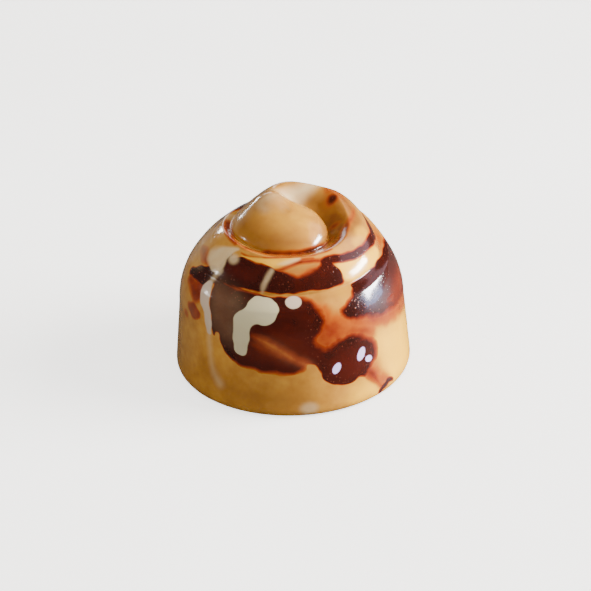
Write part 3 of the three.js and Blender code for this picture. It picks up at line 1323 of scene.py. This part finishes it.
DROPS = (
    Drop(Coat.MILK, 1, 12.86, 0.84, 0.72, fade=0.2, hue=MilkHue.ROSE),
    Drop(Coat.HAZE, -47.5, 8.85, 0.72, 0.6, lean=-10, fade=0.35, strength=0.72),
    Drop(Coat.MILK, 21.6, 22.04, 0.66, 0.42, lean=57, fade=0.12, hue=MilkHue.LILAC),
    Drop(Coat.MILK, 35.8, 21.18, 0.78, 0.46, lean=62, fade=0.12, hue=MilkHue.LILAC),
    Drop(Coat.MILK, 40.2, 22.16, 0.46, 0.36, lean=-20, fade=0.12, hue=MilkHue.LILAC),
    Drop(Coat.HAZE, 6.8, 26.6, 1, 0.75, fade=0.4, strength=0.66),
    Drop(Coat.RUST, 127.6, 6.84, 0.75, 0.6, fade=0.7, strength=0.34),
    Drop(Coat.DARK, 127.6, 6.84, 0.26, 0.2, fade=0.5),
    Drop(Coat.RUST, 98.2, 6.02, 0.26, 0.24, fade=0.6, strength=0.8),
    Drop(Coat.RUST, -69, 18.5, 0.5, 0.4, fade=0.5, strength=0.4),
    Drop(Coat.MILK, 188, 14.6, 1.5, 1, lean=20, fade=0.2),
    Drop(Coat.MILK, 201, 19.6, 0.6, 0.5, lean=30, fade=0.12, hue=MilkHue.LILAC),
    Drop(Coat.MILK, 193, 20.9, 0.5, 0.38, lean=-20, fade=0.12, hue=MilkHue.LILAC),
    Drop(Coat.MILK, 118, 15.2, 0.6, 0.5, fade=0.2, hue=MilkHue.ROSE),
)


@dataclass(frozen=True)
class Marbling:
    """The pattern on the body, as it was splashed by hand in the mould, with shade and light painted over
    it.
    """

    shapes: tuple[Union[Splash, Drip, Drop], ...] = SPLASHES + DRIPS + DROPS

    def paint(self, body: bpy.types.Object, plan: SurfacePlan) -> None:
        """Stores the depth in each coat as attributes of the mesh.

        Args:
            body: The object whose mesh is painted.
            plan: Its surface laid flat.
        """
        layers = {coat: np.full(plan.count, -DEEPEST if coat in CRISP_COATS else 0.0) for coat in Coat}
        hue = np.zeros(plan.count)
        for shape in self.shapes:
            depth = shape.depth(plan)
            layer = layers[shape.coat]
            if shape.coat in CRISP_COATS:
                if shape.coat is Coat.MILK:
                    hue = np.where(depth > layer, shape.hue, hue)
                layers[shape.coat] = np.clip(np.maximum(layer, depth), -DEEPEST, DEEPEST)
            else:
                share = np.clip((depth + 1) / 2, 0, 1)
                layers[shape.coat] = np.maximum(layer, shape.strength * share * share * (3 - 2 * share))
        for coat, values in layers.items():
            self._store(body.data, coat.value, values)
        self._store(body.data, "hue", hue)

    def _store(self, mesh: bpy.types.Mesh, name: str, values: np.ndarray) -> None:
        """Writes a point attribute."""
        attribute = mesh.attributes.new(name, "FLOAT", "POINT")
        attribute.data.foreach_set("value", values.astype(np.float32))


def new_group(name: str, inputs: dict[str, float], output: str) -> tuple[NodeBoard, bpy.types.Node]:
    """Starts a shader node group.

    Args:
        name: Its name.
        inputs: Its float inputs with their first values.
        output: Its float output.

    Returns:
        A board to build it on, and its input node.
    """
    tree = bpy.data.node_groups.new(name, "ShaderNodeTree")
    for label, value in inputs.items():
        socket = tree.interface.new_socket(name=label, in_out="INPUT", socket_type="NodeSocketFloat")
        socket.default_value = value
    tree.interface.new_socket(name=output, in_out="OUTPUT", socket_type="NodeSocketFloat")
    return NodeBoard(tree), tree.nodes.new("NodeGroupInput")


def close_group(board: NodeBoard, result: Wire) -> bpy.types.NodeTree:
    """Ends a shader node group with its result.

    Args:
        board: The board of the group.
        result: What its output carries.

    Returns:
        The finished group.
    """
    outlet = board.tree.nodes.new("NodeGroupOutput")
    board.feed(outlet.inputs[0], result)
    return board.tree


class Mottle(NamedTuple):
    """Cloudy variation of a finish."""

    pitch: float
    detail: float
    contrast: float


class Flecks(NamedTuple):
    """Small round specks in a finish."""

    pitch: float
    size: float
    share: float


@dataclass(frozen=True)
class SurfaceEffects:
    """The node groups that the finishes share, each built once."""

    mottle: bpy.types.NodeTree
    flecks: bpy.types.NodeTree

    @classmethod
    def build(cls) -> "SurfaceEffects":
        """Builds every shared group."""
        return cls(mottle=cls._mottle(), flecks=cls._flecks())

    def mottled(self, board: NodeBoard, effect: Mottle) -> Wire:
        """Places the cloudy variation on a material's board."""
        sizes = {"Pitch": effect.pitch, "Detail": effect.detail, "Contrast": effect.contrast}
        return board.wire(board.group(self.mottle, **sizes).outputs[0])

    def flecked(self, board: NodeBoard, effect: Flecks) -> Wire:
        """Places the specks on a material's board."""
        sizes = {"Pitch": effect.pitch, "Size": effect.size, "Share": effect.share}
        return board.wire(board.group(self.flecks, **sizes).outputs[0])

    @staticmethod
    def _mottle() -> bpy.types.NodeTree:
        """Builds the cloudy variation.

        Returns:
            The group. Its value runs from -1 to 1, times the contrast.
        """
        board, inlet = new_group("Mottle", {"Pitch": 300.0, "Detail": 3.0, "Contrast": 1.0}, "Value")
        place = board.node("ShaderNodeTexCoord").outputs["Object"]
        noise = board.node(
            "ShaderNodeTexNoise", Vector=place, Scale=inlet.outputs["Pitch"], Detail=inlet.outputs["Detail"]
        )
        value = (board.wire(noise.outputs[0]) - 0.5) * 4.0 * board.wire(inlet.outputs["Contrast"])
        return close_group(board, value)

    @staticmethod
    def _flecks() -> bpy.types.NodeTree:
        """Builds the small round specks, on as many cells as the share says.

        Returns:
            The group. Its mask is 1 inside a speck and 0 outside.
        """
        board, inlet = new_group("Flecks", {"Pitch": 2000.0, "Size": 0.2, "Share": 0.3}, "Mask")
        place = board.node("ShaderNodeTexCoord").outputs["Object"]
        cells = board.node("ShaderNodeTexVoronoi", Vector=place, Scale=inlet.outputs["Pitch"])
        size = board.wire(inlet.outputs["Size"])
        inside = 1.0 - board.wire(cells.outputs["Distance"]).ease(size * 0.5, size * 0.5)
        pick = board.wire(board.node("ShaderNodeSeparateColor", Color=cells.outputs["Color"]).outputs[0])
        chosen = pick.math("LESS_THAN", board.wire(inlet.outputs["Share"]))
        return close_group(board, inside * chosen)


@dataclass(frozen=True)
class MarbledChocolate:
    """Glossy moulded chocolate: caramel under dark and milky cocoa butter, with painted shade and light."""

    caramels: tuple[Colour, Colour] = (126, 80, 27), (170, 119, 42)
    # The brown of the painted shade in the furrows and creases, which also shows through the thinner stains
    furrow_caramel: Colour = (98, 55, 18)
    # Paler caramel, which is also the colour of the painted light on the tops and the lit right side
    pale_caramel: Colour = (210, 156, 26)
    dark_tones: tuple[tuple[float, Colour], ...] = (
        (0.0, (140, 78, 14)),
        (0.22, (138, 65, 11)),
        (0.45, (108, 36, 10)),
        (0.75, (58, 14, 6)),
        (1.0, (32, 9, 5)),
    )
    milk_tints: tuple[tuple[float, Colour], ...] = (
        (0.0, (164, 153, 120)),
        (0.5, (162, 141, 119)),
        (1.0, (184, 162, 206)),
    )
    # The colour of the milky veils, and of the painted highlights along the knob's edges
    haze: Colour = (174, 148, 108)
    fleck: Colour = (126, 70, 50)
    roughness: float = 0.17
    roughness_spread: float = 0.04
    specular: float = 0.32
    coat_weight: float = 0.25
    coat_roughness: float = 0.06
    subsurface: float = 0.12
    subsurface_depth: float = 0.6 * MM
    subsurface_colours: tuple[float, float, float] = (1.0, 0.55, 0.25)
    cloud: Mottle = Mottle(190.0, 3.0, 0.5)
    ripple: Mottle = Mottle(620.0, 4.0, 0.9)
    grain: Mottle = Mottle(1500.0, 4.0, 1.0)
    dust: Flecks = Flecks(2900.0, 0.32, 0.45)
    fray: float = 0.32
    covering_tone: float = 0.22
    full_dark: float = 0.92
    dark_variation: float = 0.08
    furrow_through_dark: float = 0.8
    caramel_mottle: tuple[float, float, float] = (0.5, 0.26, 0.08)
    deep_ripple: float = 0.3
    haze_ripple: float = 0.25
    thin_ripple: float = 0.35
    rust_ripple: float = 0.3
    rust_cloud: float = 0.2
    pale_cloud: float = 0.3
    speck_strength: float = 0.6
    speck_clusters: float = 1.6
    speck_spread: float = 0.3
    speck_tones: tuple[float, float] = (0.7, 0.3)
    milk_edge: tuple[float, float] = (0.1, 0.9)
    milk_roughness: float = 0.05
    bump_height: float = 0.02 * MM
    bump_strength: float = 0.5
    grain_relief: float = 0.4
    dust_relief: float = 1.2

    def material(self, effects: SurfaceEffects) -> bpy.types.Material:
        """Makes the finish.

        Args:
            effects: The shared node groups.

        Returns:
            The material.
        """
        material = bpy.data.materials.new("marbled_chocolate")
        material.use_nodes = True
        board = NodeBoard(material.node_tree)
        shader = material.node_tree.nodes["Principled BSDF"]

        cloud = effects.mottled(board, self.cloud)
        ripple = effects.mottled(board, self.ripple)
        grain = effects.mottled(board, self.grain)
        dust = effects.flecked(board, self.dust)

        tone = self._tone(board, cloud, ripple, grain)
        # Painted shade in the furrows and creases, at the knob's foot and low on the front
        deep = self._soft_coat(board, Coat.DEEP, ripple * self.deep_ripple)
        colour = self._caramel(board, cloud, ripple, grain, deep)
        stained = board.ramp(tone, self.dark_tones)
        # The painted shade shows through the thinner stains too
        painted_shade_share = deep * (1.0 - tone) * self.furrow_through_dark
        stained = board.blend(painted_shade_share, stained, linear(self.furrow_caramel))
        colour = board.blend(tone.ease(0.0, self.covering_tone), colour, stained)
        clusters = (cloud * self.speck_clusters + self.speck_spread).share()
        speck_share = dust * tone.ease(*self.speck_tones) * clusters * self.speck_strength
        colour = board.blend(speck_share, colour, linear(self.fleck))
        # Milky veils, with painted highlights along the knob's edges
        haze = self._soft_coat(board, Coat.HAZE, ripple * self.haze_ripple)
        colour = board.blend(haze, colour, linear(self.haze))
        milk = (board.attribute(Coat.MILK.value) + 1.0 + grain * self.fray * 0.5).ease(*self.milk_edge)
        colour = board.blend(milk, colour, board.ramp(board.attribute("hue"), self.milk_tints))

        roughness = (cloud + grain * 0.5) * self.roughness_spread + self.roughness
        relief = grain * self.grain_relief + dust * tone * self.dust_relief
        bump = board.node(
            "ShaderNodeBump", Height=relief, Distance=self.bump_height, Strength=self.bump_strength
        )
        board.feed_all(
            shader,
            Base_Color=colour,
            Roughness=roughness + milk * self.milk_roughness,
            Specular_IOR_Level=self.specular,
            Coat_Weight=self.coat_weight,
            Coat_Roughness=self.coat_roughness,
            Subsurface_Weight=self.subsurface,
            Subsurface_Radius=self.subsurface_colours,
            Subsurface_Scale=self.subsurface_depth,
            Normal=bump.outputs["Normal"],
        )
        return material

    def _soft_coat(self, board: NodeBoard, coat: Coat, unevenness: Wire) -> Wire:
        """The share of a soft coat, made uneven."""
        return (board.attribute(coat.value) * (unevenness + 1.0)).share()

    def _tone(self, board: NodeBoard, cloud: Wire, ripple: Wire, grain: Wire) -> Wire:
        """Works out how dark the chocolate is stained.

        Args:
            board: The material's board.
            cloud: The broad variation.
            ripple: The middling variation.
            grain: The fine variation.

        Returns:
            0 for bare caramel, up to 1 for the full dark coat.
        """
        dark = (board.attribute(Coat.DARK.value) + 1.0 + (ripple + grain * 0.5) * self.fray * 0.5).share()
        # Rust-coloured stains, with painted shade along the furrow's bottom and the right crest
        rust = self._soft_coat(board, Coat.RUST, ripple * self.rust_ripple + cloud * self.rust_cloud)
        thinned = 1.0 - self._soft_coat(board, Coat.THIN, ripple * self.thin_ripple)
        varied = self.full_dark + ripple * self.dark_variation + cloud * self.dark_variation
        return dark.most(rust) * thinned * varied

    def _caramel(
        self, board: NodeBoard, cloud: Wire, ripple: Wire, grain: Wire, deep: Wire
    ) -> bpy.types.NodeSocket:
        """Mixes the bare caramel, clouded, darker with painted shade in the furrows and creases, and paler
        where milk was mixed in and where light is painted on the tops and the lit right side.

        Args:
            board: The material's board.
            cloud: The broad variation.
            ripple: The middling variation.
            grain: The fine variation.
            deep: The share of the painted shade.

        Returns:
            The colour.
        """
        by_cloud, by_ripple, by_grain = self.caramel_mottle
        mottled = (cloud * by_cloud + ripple * by_ripple + grain * by_grain + 0.5).share()
        colour = board.blend(mottled, linear(self.caramels[0]), linear(self.caramels[1]))
        colour = board.blend(deep, colour, linear(self.furrow_caramel))
        # Paler caramel, partly painted light on the tops and the lit right side
        pale = self._soft_coat(board, Coat.PALE, cloud * self.pale_cloud)
        return board.blend(pale, colour, linear(self.pale_caramel))


@dataclass(frozen=True)
class PaleBoard:
    """The plain matt surface that the praline stands on."""

    colour: Colour = (241, 239, 235)
    shaded: Colour = (236, 233, 228)
    mirrored: Colour = (54, 48, 44)
    bounce: float = 0.33
    evenness: float = 0.5
    even_light: float = 2.6
    roughness: float = 0.65
    specular: float = 0.2
    cloud: Mottle = Mottle(30.0, 2.0, 0.4)

    def material(self, effects: SurfaceEffects) -> bpy.types.Material:
        """Makes the finish.

        Args:
            effects: The shared node groups.

        Returns:
            The material.
        """
        material = bpy.data.materials.new("pale_board")
        material.use_nodes = True
        board = NodeBoard(material.node_tree)
        shader = material.node_tree.nodes["Principled BSDF"]
        cloud = effects.mottled(board, self.cloud)
        seen = board.blend((cloud + 0.5).share(), linear(self.colour), linear(self.shaded))
        rays = board.node("ShaderNodeLightPath")
        bounced = board.wire(rays.outputs["Is Diffuse Ray"]) * self.bounce
        camera = board.wire(rays.outputs["Is Camera Ray"])
        lit = (camera * (1.0 - self.evenness) + bounced).share()
        board.feed_all(
            shader,
            Base_Color=board.blend(lit, linear(self.mirrored), seen),
            Emission_Color=seen,
            Emission_Strength=camera * self.even_light,
            Roughness=self.roughness,
            Specular_IOR_Level=self.specular,
        )
        return material


class Task(Enum):
    """What a studio light is for: to light the surface, or to be mirrored in its gloss."""

    LIGHT = "light"
    MIRROR = "mirror"


@dataclass(frozen=True)
class Softbox:
    """A square studio light that faces the praline."""

    name: str
    azimuth: float
    elevation: float
    distance: float
    width: float
    height: float
    power: float
    task: Task = Task.LIGHT
    tint: tuple[float, float, float] = (1.0, 1.0, 1.0)

    def build(self, target: Vector) -> bpy.types.Object:
        """Hangs the light.

        Args:
            target: The point that it faces.

        Returns:
            The light.
        """
        light = bpy.data.lights.new(self.name, "AREA")
        light.shape = "RECTANGLE"
        light.size = self.width
        light.size_y = self.height
        light.energy = self.power
        light.color = self.tint
        turn, rise = math.radians(self.azimuth), math.radians(self.elevation)
        away = Vector((math.sin(turn) * math.cos(rise), -math.cos(turn) * math.cos(rise), math.sin(rise)))
        lamp = bpy.data.objects.new(self.name, light)
        lamp.visible_diffuse = self.task is Task.LIGHT
        lamp.visible_glossy = self.task is Task.MIRROR
        lamp.location = target + away * self.distance
        lamp.rotation_mode = "QUATERNION"
        lamp.rotation_quaternion = away.to_track_quat("Z", "Y")
        bpy.context.scene.collection.objects.link(lamp)
        return lamp


@dataclass
class Studio:
    """The floor, the light and the camera."""

    floor_size: float = 6.0
    floor_gap: float = 0.02 * MM
    target_height: float = 9 * MM
    camera_distance: float = 380 * MM
    camera_elevation: float = 29.58
    camera_roll: float = 1.78
    camera_right: float = 0.479 * MM
    camera_down: float = 0.435 * MM
    sensor: float = 36.0
    view_width: float = 69.83 * MM
    ambient: float = 0.22
    mirrored_share: float = 0.4
    room: Colour = (238, 238, 240)
    backdrop: Colour = (238, 235, 230)
    clip_start: float = 0.01
    clip_end: float = 50.0
    boxes: tuple[Softbox, ...] = (
        Softbox("window_light", 88, 23, 0.60, 0.40, 0.40, 27.0),
        Softbox("ceiling_light", 30, 74, 0.70, 0.60, 0.60, 6.0),
        Softbox("left_fill", -66, 30, 0.70, 0.50, 0.50, 3.2),
        Softbox("window_core", 98, 16, 0.42, 0.20, 0.09, 8.6, Task.MIRROR),
        Softbox("window_glow", 92, 6, 0.42, 0.20, 0.14, 1.5, Task.MIRROR, (0.45, 0.62, 1.0)),
        Softbox("window_wall", 116, 30, 0.50, 0.44, 0.34, 1.1, Task.MIRROR, (1.0, 0.74, 0.88)),
        Softbox("left_glint", -102, 18, 0.45, 0.02, 0.05, 0.2, Task.MIRROR),
        Softbox("far_left_glint", -152, 10, 0.45, 0.04, 0.05, 0.24, Task.MIRROR),
        Softbox("back_light", 188, 16, 0.60, 0.26, 0.14, 0.45, Task.MIRROR),
    )

    def build(self, effects: SurfaceEffects) -> None:
        """Sets up the floor, the lights, the world and the camera.

        Args:
            effects: The shared node groups, for the floor's finish.
        """
        target = Vector((0, 0, self.target_height))
        self._floor(PaleBoard().material(effects))
        for box in self.boxes:
            box.build(target)
        self._world()
        self._camera(target)

    def _floor(self, material: bpy.types.Material) -> None:
        """Lays a large flat board just under the praline.

        Args:
            material: Its finish.
        """
        half = self.floor_size / 2
        mesh = bpy.data.meshes.new("floor")
        corners = [(-half, -half), (half, -half), (half, half), (-half, half)]
        mesh.from_pydata([(x, y, -self.floor_gap) for x, y in corners], [], [(0, 1, 2, 3)])
        mesh.materials.append(material)
        floor = bpy.data.objects.new("floor", mesh)
        bpy.context.scene.collection.objects.link(floor)

    def _world(self) -> None:
        """Fills the room with dim light, and shows a pale backdrop to the camera."""
        world = bpy.data.worlds.new("studio")
        world.use_nodes = True
        board = NodeBoard(world.node_tree)
        fill = world.node_tree.nodes["Background"]
        fill.inputs["Color"].default_value = linear(self.room)
        glossy = board.wire(board.node("ShaderNodeLightPath").outputs["Is Glossy Ray"])
        board.feed(fill.inputs["Strength"], glossy.between(self.ambient, self.ambient * self.mirrored_share))
        seen = board.node("ShaderNodeBackground", Color=linear(self.backdrop), Strength=1.0)
        ray = board.node("ShaderNodeLightPath").outputs["Is Camera Ray"]
        mix = board.tree.nodes.new("ShaderNodeMixShader")
        for socket, output in zip(mix.inputs, (ray, fill.outputs[0], seen.outputs[0])):
            board.feed(socket, output)
        board.feed(world.node_tree.nodes["World Output"].inputs["Surface"], mix.outputs[0])
        bpy.context.scene.world = world

    def _camera(self, target: Vector) -> None:
        """Stands the camera where the photograph was taken from.

        Args:
            target: The point that it looks at.
        """
        rise, roll = math.radians(self.camera_elevation), math.radians(self.camera_roll)
        back = Vector((0, -math.cos(rise), math.sin(rise)))
        level_right = Vector((1, 0, 0))
        level_up = back.cross(level_right)
        right = level_right * math.cos(roll) - level_up * math.sin(roll)
        up = level_up * math.cos(roll) + level_right * math.sin(roll)
        data = bpy.data.cameras.new("camera")
        data.sensor_width = self.sensor
        data.lens = self.sensor * self.camera_distance / self.view_width
        data.clip_start = self.clip_start
        data.clip_end = self.clip_end
        camera = bpy.data.objects.new("camera", data)
        turn = Matrix((right, up, back)).transposed()
        place = target + back * self.camera_distance + right * self.camera_right - up * self.camera_down
        camera.matrix_world = Matrix.Translation(place) @ turn.to_4x4()
        bpy.context.scene.collection.objects.link(camera)
        bpy.context.scene.camera = camera


def main() -> None:
    """Builds the praline round the frame."""
    logging.basicConfig(level=logging.INFO, format="%(name)s: %(message)s")
    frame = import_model()
    LOG.info("frame loaded with %d node(s)", len(frame["nodes"]))

    effects = SurfaceEffects.build()
    Studio().build(effects)
    LOG.info("studio ready")

    sizes = SwirlBody()
    body = sizes.build(MarbledChocolate().material(effects))
    plan = SurfacePlan(sizes, body.data)
    Marbling().paint(body, plan)
    LOG.info("%s has %d faces and %d points", body.name, len(body.data.polygons), plan.count)

    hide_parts("praline")
    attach(body, "root")


if __name__ == "__main__":
    main()
